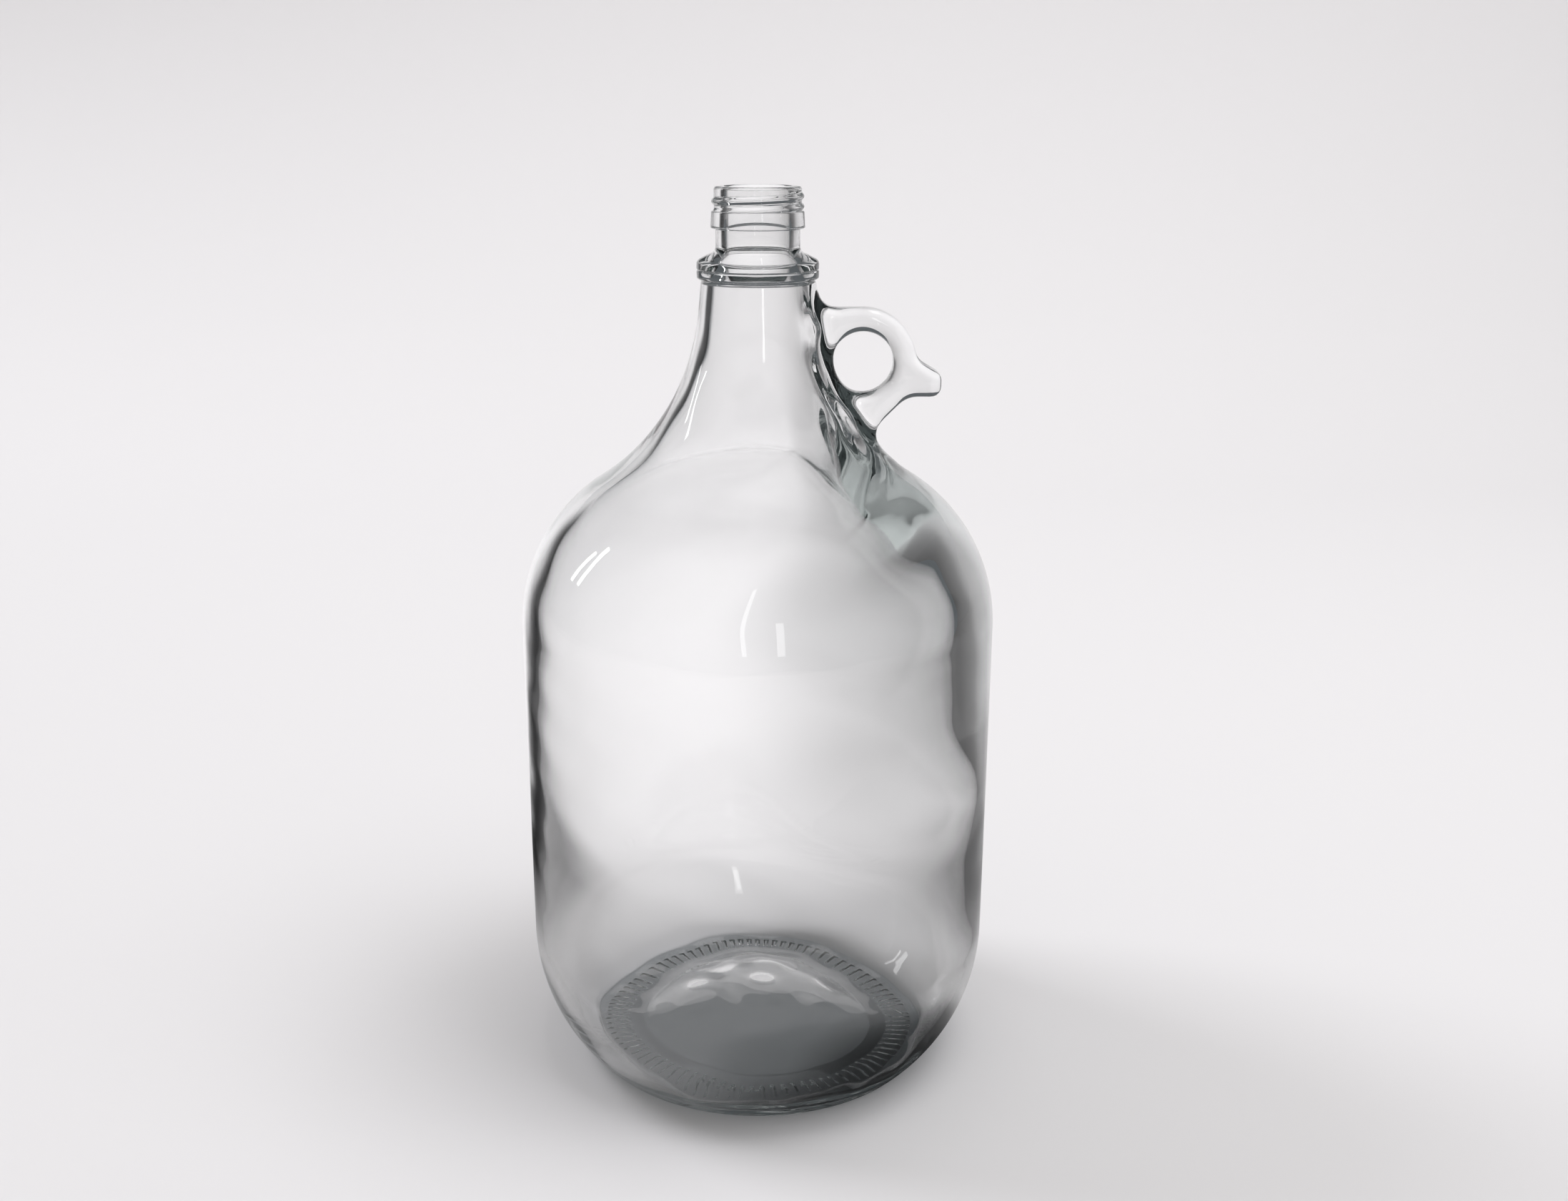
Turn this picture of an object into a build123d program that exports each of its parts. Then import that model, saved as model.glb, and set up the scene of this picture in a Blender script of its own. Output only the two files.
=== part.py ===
"""A four-litre handled jug in moulded clear glass, all one piece.

The body, the neck with its screw finish and the finger ring are one melt of
glass, blown in a two-part mould. The frame has its origin on the jug's axis in
the plane it stands on, +Z up, with the finger ring towards +X.
"""

import os
from math import acos, cos, degrees, radians, sin, sqrt, tan

from build123d import *

# Body, in millimetres
overall_height = 310.0
body_radius = 82.7
shoulder_height = 161.5  # where the straight wall ends
shoulder_radius = 59.5
heel_height = 47.0  # where the straight wall begins
heel_radius = 67.0
foot_edge_radius = 3.4
wall = 4.0

# Base
push_up_height = 7.0  # how far the middle of the base is raised
push_up_radius = 43.0
base_thickness = 5.0  # at the middle
valley_height = 5.0  # the lowest point inside, above the table
floor_dome_radius = 46.0  # where the raised middle of the floor ends
valley_fillet = 6.0
inner_heel_radius = 62.0
inner_heel_turn = radians(42.6)  # how far the inner heel curls under
knurl_count = 90
knurl_inner_radius = 50.5
knurl_outer_radius = 58.5
knurl_width = 1.8
knurl_depth = 0.7

# Neck and screw finish
neck_radius = 19.0  # just under the bead
neck_taper = radians(5.3)
neck_run = 10.4  # straight taper between the bead and the hollow sweep
bore_radius = 10.6
bore_length = 23.0  # straight bore, down from the rim
bore_blend_radius = 8.0
bead_radius = 20.5
bead_height = 6.0
bead_cone_height = 3.2  # slope from the bead up to the tube
bead_top_radius = 2.0
bead_bottom_chamfer = 0.7
parting_groove_depth = 0.35
parting_groove_width = 0.9
tube_radius = 14.1
tube_length = 7.3  # plain tube between the bead and the collar
tube_root_radius = 2.2
collar_radius = 15.75
collar_height = 5.6
collar_draft = 0.3
collar_edge_chamfer = 0.3
thread_length = 7.9  # height of the part that carries the screw thread
thread_root_radius = 14.6
thread_crest_radius = 15.45
thread_round = 1.3  # radius of the ridge's own section
thread_pitch = 3.35
thread_turns = 1.5
thread_top_gap = 2.9  # from the rim down to the middle of the ridge, where it ends
thread_start = radians(-150.0)  # direction of its lower end, from +X
rim_edge_radius = 1.1
rim_inner_chamfer = 0.8

# Finger ring
finger_hole_radius = 10.5
finger_hole_web = 1.3  # glass between the hole and the neck
ring_band = 7.7
ring_thickness = 12.0
ring_edge_radius = 3.3
ring_drop = 17.4  # ring centre, below the top of the hollow sweep
ring_shoulder_gap = 13.0  # least height of the ring centre over the top of the shoulder
arm_fillet = 8.0  # where the arm runs up into the neck
horn_length = 8.6  # thumb horn, out from the ring
horn_start_angle = radians(4.0)
horn_drop = 11.6  # underside of the horn, below the ring centre
horn_tip_height = 7.5
horn_tip_radius = 3.5
horn_root_fillet = 7.0
knee_fillet = 9.0  # where the underside of the horn turns down the leg
leg_width = 8.4
leg_angle = radians(225.0)  # direction of the leg, down and inwards
foot_fillet = 9.0
leg_straight = 1.0  # least straight length of the leg between its fillets
root_burial = 0.8  # how deep the ring's roots lie in the wall
root_run = 3.5  # how far the roots run on along the wall past their fillets


# Heights of the finish, from the rim down
rim_z = overall_height
collar_top_z = rim_z - thread_length
collar_bottom_z = collar_top_z - collar_height
cone_top_z = collar_bottom_z - tube_length
bead_top_z = cone_top_z - bead_cone_height
bead_bottom_z = bead_top_z - bead_height

# The hollow sweep is tangent to the tapered neck above it and to the shoulder below.
taper_down = Vector(sin(neck_taper), -cos(neck_taper))
taper_out = Vector(cos(neck_taper), sin(neck_taper))
neck_top = Vector(neck_radius, bead_bottom_z)
neck_foot = neck_top + taper_down * neck_run
shoulder_centre = Vector(body_radius - shoulder_radius, shoulder_height)
to_foot = neck_foot - shoulder_centre
sweep_radius = (to_foot.dot(to_foot) - shoulder_radius**2) / (
    2 * (shoulder_radius - to_foot.dot(taper_out))
)
sweep_centre = neck_foot + taper_out * sweep_radius
towards_sweep = (sweep_centre - shoulder_centre).normalized()


def shoulder_end(inset):
    """Where the shoulder meets the sweep, with the wall moved inwards by inset."""
    return shoulder_centre + towards_sweep * (shoulder_radius - inset)


def sweep_reach(height):
    """Outside radius of the hollow sweep at a height."""
    return sweep_centre.X - sqrt(sweep_radius**2 - (height - sweep_centre.Y) ** 2)


def crossings(start, direction, centre, radius):
    """Distances from a point, along a direction, to where that line crosses a circle."""
    offset = start - centre
    along = offset.dot(direction)
    half_chord = sqrt(along**2 - offset.dot(offset) + radius**2)
    return -along - half_chord, -along + half_chord


def corner(sketch, point):
    """The vertex of a sketch nearest to a point."""
    return sketch.vertices().sort_by_distance(Vector(*point))[0]


# Finger ring: a flat outline in the jug's own plane, given its thickness and then rounded.
# Its centre keeps clear of the neck and of the shoulder.
ring_outer_radius = finger_hole_radius + ring_band
ring_z = max(neck_foot.Y - ring_drop, shoulder_end(0).Y + ring_shoulder_gap)
ring_x = sweep_reach(ring_z) + finger_hole_web + finger_hole_radius
ring_centre = Vector(ring_x, ring_z)
arm_top = ring_centre + Vector(0, ring_outer_radius)
arm_depth = (neck_top.Y - arm_top.Y) / cos(neck_taper)
arm_corner = neck_top + taper_down * arm_depth - taper_out * root_burial
arm_turn = radians(90) + neck_taper
arm_rise = arm_corner - taper_down * (arm_fillet * tan(arm_turn / 2) + root_run)
horn_start = ring_centre + Vector(cos(horn_start_angle), sin(horn_start_angle)) * ring_outer_radius
horn_tip_x = ring_centre.X + ring_outer_radius + horn_length
horn_under_z = ring_centre.Y - horn_drop
horn_tip_top = Vector(horn_tip_x, horn_under_z + horn_tip_height)
horn_tip_under = Vector(horn_tip_x, horn_under_z)

# The leg runs from the knee down to the sweep, or to the shoulder where that comes first
leg_direction = Vector(cos(leg_angle), sin(leg_angle))
leg_outwards = Vector(-leg_direction.Y, leg_direction.X)
leg_edge = ring_centre + leg_outwards * (finger_hole_radius + leg_width)
knee = leg_edge + leg_direction * ((horn_under_z - leg_edge.Y) / leg_direction.Y)
run_to_sweep = max(crossings(knee, leg_direction, sweep_centre, sweep_radius + root_burial))
leg_run = run_to_sweep
if (knee + leg_direction * run_to_sweep).X < shoulder_end(0).X:
    leg_foot = knee + leg_direction * leg_run
    foot_normal = (sweep_centre - leg_foot).normalized()
else:
    leg_run = min(crossings(knee, leg_direction, shoulder_centre, shoulder_radius - root_burial))
    leg_foot = knee + leg_direction * leg_run
    foot_normal = (leg_foot - shoulder_centre).normalized()
down_the_wall = foot_normal.rotate(Axis.Z, -90)
knee_tangent = knee_fillet * tan((leg_angle - radians(180)) / 2)
foot_slope = tan(acos(leg_direction.dot(down_the_wall)) / 2)
foot_radius = min(foot_fillet, (leg_run - knee_tangent - leg_straight) / foot_slope)
foot_end = leg_foot + down_the_wall * (foot_radius * foot_slope + root_run)
foot_inner = foot_end - foot_normal * wall


def shows(edge):
    """Whether an edge of the ring lies outside the jug's own wall."""
    low = edge.bounding_box().min
    return low.X > bore_radius + root_burial and low.Z > foot_inner.Y + root_burial


with BuildPart() as finger_ring:
    with BuildSketch(Plane.XZ) as ring_outline:
        with BuildLine():
            Polyline((bore_radius, arm_rise.Y), arm_rise, arm_corner, arm_top)
            TangentArc(arm_top, horn_start, tangent=(1, 0))
            Polyline(horn_start, horn_tip_top, horn_tip_under, knee, leg_foot, foot_end)
            Polyline(foot_end, foot_inner, (bore_radius, foot_inner.Y), (bore_radius, arm_rise.Y))
        make_face()
        fillet(corner(ring_outline, arm_corner), arm_fillet)
        fillet(corner(ring_outline, horn_start), horn_root_fillet)
        fillet(corner(ring_outline, horn_tip_top), horn_tip_radius)
        fillet(corner(ring_outline, horn_tip_under), horn_tip_radius)
        fillet(corner(ring_outline, knee), knee_fillet)
        fillet(corner(ring_outline, leg_foot), foot_radius)
        with Locations(ring_centre):
            Circle(finger_hole_radius, mode=Mode.SUBTRACT)
    extrude(amount=ring_thickness / 2, both=True)
    fillet(finger_ring.faces().filter_by(Axis.Y).edges().filter_by(shows), ring_edge_radius)

# One groove of the knurled ring that the jug stands on
with BuildPart() as knurl_groove:
    with BuildSketch(Plane.YZ.offset(knurl_inner_radius)):
        with BuildLine():
            Polyline((-knurl_width, -knurl_depth), (knurl_width, -knurl_depth), (0, knurl_depth), close=True)
        make_face()
    extrude(amount=knurl_outer_radius - knurl_inner_radius)

# Screw thread: one rounded ridge that climbs anticlockwise
thread_rise = thread_pitch * thread_turns
with BuildPart() as screw_thread:
    with BuildLine() as ridge_path:
        Helix(pitch=thread_pitch, height=thread_rise, radius=thread_crest_radius - thread_round)
    with BuildSketch(Plane.XZ):
        with Locations((thread_crest_radius - thread_round, 0)):
            Circle(thread_round)
    sweep(path=ridge_path.line, is_frenet=True)

# The jug: outside, finger ring, then the hollow inside and the knurling
with BuildPart() as glass_jug:
    with BuildSketch(Plane.XZ) as outside:
        foot_reach = body_radius - heel_radius + sqrt(heel_radius**2 - heel_height**2)
        groove_z = (bead_top_z + bead_bottom_z) / 2
        groove_half = parting_groove_width / 2
        with BuildLine():
            TangentArc((0, push_up_height), (push_up_radius, 0), tangent=(1, 0))
            Line((push_up_radius, 0), (foot_reach, 0))
            TangentArc((body_radius, heel_height), (foot_reach, 0), tangent=(0, -1))
            Line((body_radius, heel_height), (body_radius, shoulder_height))
            shoulder = TangentArc((body_radius, shoulder_height), shoulder_end(0), tangent=(0, 1))
            TangentArc(shoulder_end(0), neck_foot, tangent=shoulder % 1)
            Polyline(
                neck_foot,
                neck_top,
                (bead_radius, bead_bottom_z),
                (bead_radius, groove_z - groove_half),
                (bead_radius - parting_groove_depth, groove_z),
                (bead_radius, groove_z + groove_half),
                (bead_radius, bead_top_z),
                (tube_radius, cone_top_z),
                (tube_radius, collar_bottom_z),
                (collar_radius, collar_bottom_z),
                (collar_radius - collar_draft, collar_top_z),
                (thread_root_radius, collar_top_z),
                (thread_root_radius, rim_z),
                (0, rim_z),
                (0, push_up_height),
            )
        make_face()
        fillet(corner(outside, (foot_reach, 0)), foot_edge_radius)
        chamfer(corner(outside, (bead_radius, bead_bottom_z)), bead_bottom_chamfer)
        fillet(corner(outside, (bead_radius, bead_top_z)), bead_top_radius)
        fillet(corner(outside, (tube_radius, cone_top_z)), tube_root_radius)
        chamfer(corner(outside, (collar_radius, collar_bottom_z)), collar_edge_chamfer)
        chamfer(corner(outside, (collar_radius - collar_draft, collar_top_z)), collar_edge_chamfer)
        fillet(corner(outside, (thread_root_radius, rim_z)), rim_edge_radius)
    revolve(axis=Axis.Z)
    add(finger_ring.part)
    with BuildSketch(Plane.XZ) as inside:
        inner_radius = body_radius - wall
        inner_heel_top = (inner_radius, valley_height + inner_heel_radius * sin(inner_heel_turn))
        valley_reach = inner_radius - inner_heel_radius * (1 - cos(inner_heel_turn))
        floor_z = push_up_height + base_thickness
        bore_end_z = rim_z - bore_length
        neck_inner_foot = neck_foot - taper_out * wall
        neck_inner_top = neck_top - taper_out * wall
        inner_shoulder = (inner_radius, shoulder_height)
        with BuildLine():
            TangentArc((0, floor_z), (floor_dome_radius, valley_height), tangent=(1, 0))
            Line((floor_dome_radius, valley_height), (valley_reach, valley_height))
            TangentArc(inner_heel_top, (valley_reach, valley_height), tangent=(0, -1))
            Line(inner_heel_top, inner_shoulder)
            shoulder = TangentArc(inner_shoulder, shoulder_end(wall), tangent=(0, 1))
            TangentArc(shoulder_end(wall), neck_inner_foot, tangent=shoulder % 1)
            Polyline(
                neck_inner_foot,
                neck_inner_top,
                (bore_radius, bore_end_z),
                (bore_radius, rim_z),
                (0, rim_z),
                (0, floor_z),
            )
        make_face()
        fillet(corner(inside, (valley_reach, valley_height)), valley_fillet)
        fillet(corner(inside, neck_inner_top), bore_blend_radius)
        fillet(corner(inside, (bore_radius, bore_end_z)), bore_blend_radius)
    revolve(axis=Axis.Z, mode=Mode.SUBTRACT)
    rim_edges = glass_jug.faces().sort_by(Axis.Z)[-1].edges().sort_by(SortBy.RADIUS)
    chamfer(rim_edges[0], rim_inner_chamfer)
    with PolarLocations(0, knurl_count):
        add(knurl_groove.part, mode=Mode.SUBTRACT)
    with Locations(Location((0, 0, rim_z - thread_top_gap - thread_rise), (0, 0, degrees(thread_start)))):
        add(screw_thread.part)

glass_jug.part.label = "glass_jug"

os.makedirs("parts", exist_ok=True)
export_step(glass_jug.part, "parts/glass_jug.step")
print("glass volume, cm3:", round(glass_jug.part.volume / 1000, 1))
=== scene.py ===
# %% [markdown]
# # A moulded clear-glass jug with a finger ring
# The real jug is a single blown piece of soda-lime glass: a round body, a long hollow neck, a
# screw finish and a finger ring that was pressed in the same mould. This lesson builds it as one
# closed skin of glass, with an outer face that the mould shaped and an inner face that the air
# shaped. That matters for glass more than for any other material, because light goes through
# both faces, and every uneven spot of the wall shows as a grey or a bright band.

from math import acos, atan2, cos, hypot, pi, radians, sin, sqrt, tan

import bmesh
import bpy
import numpy as np
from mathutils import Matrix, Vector, geometry


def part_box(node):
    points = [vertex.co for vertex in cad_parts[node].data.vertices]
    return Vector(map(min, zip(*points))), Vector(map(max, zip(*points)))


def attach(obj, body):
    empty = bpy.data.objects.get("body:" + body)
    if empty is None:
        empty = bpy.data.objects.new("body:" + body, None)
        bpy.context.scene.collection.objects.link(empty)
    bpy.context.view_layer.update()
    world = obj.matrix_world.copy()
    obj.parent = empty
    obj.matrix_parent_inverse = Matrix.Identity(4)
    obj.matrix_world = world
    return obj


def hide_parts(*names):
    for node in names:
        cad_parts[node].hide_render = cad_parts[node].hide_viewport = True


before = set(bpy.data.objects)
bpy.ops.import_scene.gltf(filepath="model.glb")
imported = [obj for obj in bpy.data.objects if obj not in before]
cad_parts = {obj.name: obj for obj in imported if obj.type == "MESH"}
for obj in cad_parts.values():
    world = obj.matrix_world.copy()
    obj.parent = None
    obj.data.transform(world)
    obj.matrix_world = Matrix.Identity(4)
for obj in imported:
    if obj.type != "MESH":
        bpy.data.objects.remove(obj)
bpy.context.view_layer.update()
MM = 0.001
low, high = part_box("glass_jug")
print("frame box, mm:", [round((b - a) / MM, 1) for a, b in zip(low, high)])

# %% [markdown]
# ## The outline of the mould
# The outside is a turned shape, so one half outline says it all. Such an outline could be drawn
# with a curve object, but straight runs and true arcs that touch each other smoothly are how the
# mould was cut, and glass shows any kink, so the outline is worked out from a few sizes in
# millimetres. Every run gets its own number of steps: few on the straight wall, many on a lip.

# %% Sizes of the outside, in millimetres
height = high[2] / MM
body_radius = high[1] / MM
shoulder_height = 161.5
shoulder_radius = 59.5
heel_height = 47.0
heel_radius = 67.0
foot_radius = 3.4
push_up_height = 7.0
push_up_radius = 43.0
neck_radius = 19.0
neck_taper = radians(5.3)
neck_run = 10.4
bead_radius = 20.5
bead_height = 6.0
bead_cone = 3.2
bead_groove_depth = 0.35
bead_groove_half = 0.45
tube_radius = 14.1
tube_length = 7.3
collar_radius = 15.75
collar_height = 5.6
collar_draft = 0.3
thread_zone = 7.9
thread_root = 14.6
thread_crest = 15.45
thread_half_width = 1.35
thread_pitch = 3.35
thread_low_end = 301.75
thread_start = radians(-185)
thread_turns = 600 / 360
rim_round = 1.1
knurl_count = 90
knurl_depth = 0.7
knurl_inner = 50.0
knurl_outer = 58.5

rim_z = height
collar_top = rim_z - thread_zone
collar_bottom = collar_top - collar_height
cone_top = collar_bottom - tube_length
bead_top = cone_top - bead_cone
bead_bottom = bead_top - bead_height
print("bead from", round(bead_bottom, 1), "to", round(bead_top, 1), "mm, rim at", round(rim_z, 1))


# %% Helpers for flat outlines
def v2(x, y):
    return np.array([x, y], float)


def unit(v):
    return v / np.linalg.norm(v)


def arc(centre, radius, start, end, steps):
    """Points of an arc from one angle to another, both ends included."""
    turn = np.linspace(start, end, steps + 1)
    return np.column_stack([centre[0] + radius * np.cos(turn), centre[1] + radius * np.sin(turn)])


def line(a, b, steps):
    """Points of a straight run, both ends included."""
    return np.linspace(a, b, steps + 1)


def rounded(corners, radii, steps=5):
    """A chain of straight runs whose inner corners are rounded; radii has one value for each corner."""
    out = [corners[0]]
    for before, here, after, radius in zip(corners, corners[1:], corners[2:], radii):
        back, on = unit(before - here), unit(after - here)
        half = acos(np.clip(back @ on, -1, 1)) / 2
        if radius == 0:
            out.append(here)
            continue
        centre = here + unit(back + on) * radius / sin(half)
        first = here + back * radius / tan(half) - centre
        last = here + on * radius / tan(half) - centre
        a, b = atan2(first[1], first[0]), atan2(last[1], last[0])
        b = a + (b - a + pi) % (2 * pi) - pi
        out.extend(arc(centre, radius, a, b, steps))
    return np.array(out + [corners[-1]])


def chain(*runs):
    """Joins runs end to end and drops the doubled points between them."""
    out = [np.asarray(runs[0])]
    for run in runs[1:]:
        out.append(np.asarray(run)[1:])
    return np.vstack(out)


def crossings(start, direction, centre, radius):
    """Distances from a point, along a direction, to where that line crosses a circle."""
    offset = start - centre
    along = offset @ direction
    half_chord = sqrt(along**2 - offset @ offset + radius**2)
    return -along - half_chord, -along + half_chord


# %% The hollow sweep between shoulder and neck
taper_down = v2(sin(neck_taper), -cos(neck_taper))
taper_out = v2(cos(neck_taper), sin(neck_taper))
neck_top = v2(neck_radius, bead_bottom)
neck_foot = neck_top + taper_down * neck_run
shoulder_centre = v2(body_radius - shoulder_radius, shoulder_height)
to_foot = neck_foot - shoulder_centre
sweep_radius = (to_foot @ to_foot - shoulder_radius**2) / (2 * (shoulder_radius - to_foot @ taper_out))
sweep_centre = neck_foot + taper_out * sweep_radius
shoulder_turn = atan2(*(sweep_centre - shoulder_centre)[::-1])
print("the sweep has a radius of", round(sweep_radius, 1), "mm")

# %% Outer outline, from the middle of the base up to the rim
foot_reach = body_radius - heel_radius + sqrt(heel_radius**2 - heel_height**2)
heel_centre = v2(body_radius - heel_radius, heel_height)
heel_start = atan2(-heel_height, foot_reach - heel_centre[0])
dome_radius = (push_up_radius**2 + push_up_height**2) / (2 * push_up_height)
dome_turn = acos(1 - push_up_height / dome_radius)
# The heel's arc starts a little late, to leave room for the small round of the foot.
foot_arc_start = heel_start + 0.035
foot_arc_foot = heel_centre + heel_radius * v2(cos(foot_arc_start), sin(foot_arc_start))
foot_corner = rounded(
    [v2(knurl_outer, 0), v2(foot_reach, 0), foot_arc_foot],
    [foot_radius * 0.45],
    5,
)
base_run = arc(v2(0, push_up_height - dome_radius), dome_radius, pi / 2, pi / 2 - dome_turn, 22)[1:]
knurl_run = line(v2(push_up_radius, 0), v2(knurl_outer, 0), 17)
body_run = chain(
    foot_corner[1:],
    arc(heel_centre, heel_radius, foot_arc_start, 0, 22),
    line(v2(body_radius, heel_height), v2(body_radius, shoulder_height), 11),
    arc(shoulder_centre, shoulder_radius, 0, shoulder_turn, 34),
    arc(sweep_centre, sweep_radius, shoulder_turn + pi, pi + neck_taper, 44),
    line(neck_foot, neck_top, 7),
)
groove_z = (bead_top + bead_bottom) / 2
bead_run = rounded(
    [
        neck_top,
        v2(bead_radius, bead_bottom),
        v2(bead_radius, groove_z - bead_groove_half),
        v2(bead_radius - bead_groove_depth, groove_z),
        v2(bead_radius, groove_z + bead_groove_half),
        v2(bead_radius, bead_top),
        v2(tube_radius, cone_top),
        v2(tube_radius, collar_bottom),
        v2(collar_radius, collar_bottom),
        v2(collar_radius - collar_draft, collar_top),
        v2(thread_root, collar_top),
    ],
    [0.9, 0.2, 0.2, 0.2, 2.0, 2.2, 0.35, 0.45, 0.45],
    5,
)
finish_run = chain(
    line(v2(thread_root, collar_top), v2(thread_root, rim_z - rim_round), 40),
    arc(v2(thread_root - rim_round, rim_z - rim_round), rim_round, 0, pi / 2, 5),
)
runs = (base_run, knurl_run, body_run, bead_run, finish_run)
print("outline points:", sum(len(run) for run in runs))

# %% [markdown]
# ## The wall of glass
# A blown wall is never even. Where the parison was still thick it stays thick, and in this jug
# that is the side under the finger ring, while the shoulder opposite is thinner and the heel is
# thinnest. The inside could be a copy of the outside, shrunk a little, but then the dark bands
# that make glass look like glass would all be thin and equal. So the inside has its own outline
# of arcs, and its wall is then pushed in or out by a smooth rule of height and direction.

# %% Inner outline, from the middle of the floor up to the rim
wall = 4.0
base_thickness = 5.0
valley_height = 5.0
floor_dome_radius = 46.0
valley_fillet = 6.0
inner_heel_radius = 62.0
inner_heel_turn = radians(42.6)
bore_radius = 10.6
bore_length = 23.0
bore_blend = 8.0
rim_bevel = 0.8

floor_z = push_up_height + base_thickness
inner_radius = body_radius - wall
inner_heel_z = valley_height + inner_heel_radius * sin(inner_heel_turn)
inner_heel_centre = v2(inner_radius - inner_heel_radius, inner_heel_z)
floor_rise = floor_z - valley_height
floor_radius = (floor_dome_radius**2 + floor_rise**2) / (2 * floor_rise)
floor_turn = acos(1 - floor_rise / floor_radius)
bore_end = rim_z - bore_length
heel_foot, heel_after = (
    inner_heel_centre + inner_heel_radius * v2(cos(turn), -sin(turn))
    for turn in (inner_heel_turn, inner_heel_turn * 0.8)
)
heel_bend = rounded([v2(floor_dome_radius, valley_height), heel_foot, heel_after], [valley_fillet], 8)[:-1]
heel_from = atan2(*(heel_bend[-1] - inner_heel_centre)[::-1])
inner_run = chain(
    arc(v2(0, floor_z - floor_radius), floor_radius, pi / 2, pi / 2 - floor_turn, 26)[1:],
    heel_bend,
    arc(inner_heel_centre, inner_heel_radius, heel_from, 0, 26),
    line(v2(inner_radius, inner_heel_centre[1]), v2(inner_radius, shoulder_height), 34),
    arc(shoulder_centre, shoulder_radius - wall, 0, shoulder_turn, 34),
    arc(sweep_centre, sweep_radius + wall, shoulder_turn + pi, pi + neck_taper, 44),
    rounded(
        [
            neck_foot - taper_out * wall,
            neck_top - taper_out * wall,
            v2(bore_radius, bore_end),
            v2(bore_radius, rim_z - rim_bevel),
            v2(bore_radius + rim_bevel, rim_z),
        ],
        [bore_blend, bore_blend, 0.5],
        8,
    ),
)
# The long straight bore gets more rings, so that its wall can wave a little too.
ring_gap = 2.6
gaps = np.linalg.norm(np.diff(inner_run, axis=0), axis=1)
counts = np.maximum(1, (gaps / ring_gap).astype(int))
pieces = [line(a, b, count)[:-1] for a, b, count in zip(inner_run, inner_run[1:], counts)]
inner_run = np.vstack(pieces + [inner_run[-1:]])
print("inner outline points:", len(inner_run))

# %% How thick the wall is on three sides, as pairs of height and thickness in millimetres
wall_left = [(40, 3.6), (60, 4.4), (100, 4.5), (135, 5.0), (162, 6.0), (190, 6.6), (215, 5.4), (240, 4.4)]
wall_right = [(40, 5.0), (66, 6.4), (98, 6.2), (112, 9.0), (126, 13.4), (165, 14.2)]
wall_right += [(190, 16.4), (208, 14.0), (226, 8.0), (245, 4.6)]
wall_front = [(40, 3.2), (66, 4.0), (108, 4.2), (140, 4.6), (180, 5.0), (215, 4.2), (240, 4.0)]
# Behind the roots of the finger ring the wall sinks in: height, depth and spread of each hollow.
root_hollows = [(263.6, 5.0, 5.4), (232.0, 4.0, 6.0)]
wave_depth = 0.05


def eased(t):
    """A step from 0 to 1 with soft ends."""
    t = np.clip(t, 0, 1)
    return t * t * (3 - 2 * t)


def smooth_levels(levels, z):
    """A value at any height from a short list of levels, averaged over the heights around it."""
    heights, values = np.array(levels, float).T
    return np.mean([np.interp(z + shift, heights, values) for shift in np.linspace(-10, 10, 9)], axis=0)


def wall_thickness(z, turn):
    """Wall of glass at a height and a direction, 0 being the side of the finger ring."""
    narrow = 0.6 * eased((z - 180) / 40)
    towards = eased((np.cos(turn) + 0.3 - narrow) / (1.1 - 0.5 * narrow))
    away = eased((0.3 - np.cos(turn)) / 1.1)
    rest = 1 - towards - away
    parts = ((towards, wall_right), (away, wall_left), (rest, wall_front))
    thick = sum(share * smooth_levels(levels, z) for share, levels in parts)
    wave = np.sin(z / 9.0 + 3 * turn) + 0.7 * np.sin(z / 5.3 - 5 * turn + 1.3)
    return thick + wave_depth * (wave + 0.5 * np.sin(z / 3.1 + 9 * turn))


print("wall at half height, mm:", [round(float(wall_thickness(155, t)), 1) for t in (0, pi / 2, pi)])


# %% [markdown]
# ## Turning the outlines into skins
# Blender could spin an outline with the Screw modifier. Here each ring of points is written out
# instead, because the uneven wall bends the rings as they go round, and because the knurled ring
# needs four times as many points as the plain wall. A ring with more points joins a ring with
# fewer by faces that fan out, so the skin stays closed.

# %% Rings and skins
around = 180
turns = np.linspace(0, 2 * pi, around, endpoint=False)


def ring(radius, z, turn=turns):
    """One ring of points; radius and z may change as the ring goes round."""
    return np.column_stack([radius * np.cos(turn), radius * np.sin(turn), np.broadcast_to(z, turn.shape)])


def normals_2d(run):
    """Directions square to an outline, pointing away from the glass that it bounds on its left."""
    along = np.gradient(run, axis=0)
    along /= np.linalg.norm(along, axis=1)[:, None]
    return np.column_stack([along[:, 1], -along[:, 0]])


def skin(rings, pole, inwards=False):
    """Points and faces of a skin that starts in a pole and goes on through all rings."""
    points = [np.array([pole], float)] + list(rings)
    starts = np.cumsum([0] + [len(p) for p in points])
    faces = []
    first = len(rings[0])
    faces += [(0, 1 + (i + 1) % first, 1 + i) for i in range(first)]
    for k, (a, b) in enumerate(zip(rings, rings[1:]), 1):
        sa, sb, na, nb = starts[k], starts[k + 1], len(a), len(b)
        n = min(na, nb)
        ma, mb = na // n, nb // n
        for i in range(n):
            bottom = [sa + (i * ma + j) % na for j in range(ma + 1)]
            top = [sb + (i * mb + j) % nb for j in range(mb + 1)]
            faces.append(tuple(bottom + top[::-1]))
    if inwards:
        faces = [f[::-1] for f in faces]
    return np.vstack(points), faces


def make_mesh(name, points, faces):
    mesh = bpy.data.meshes.new(name)
    mesh.from_pydata((points * MM).tolist(), [], faces)
    mesh.validate()
    return mesh


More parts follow.
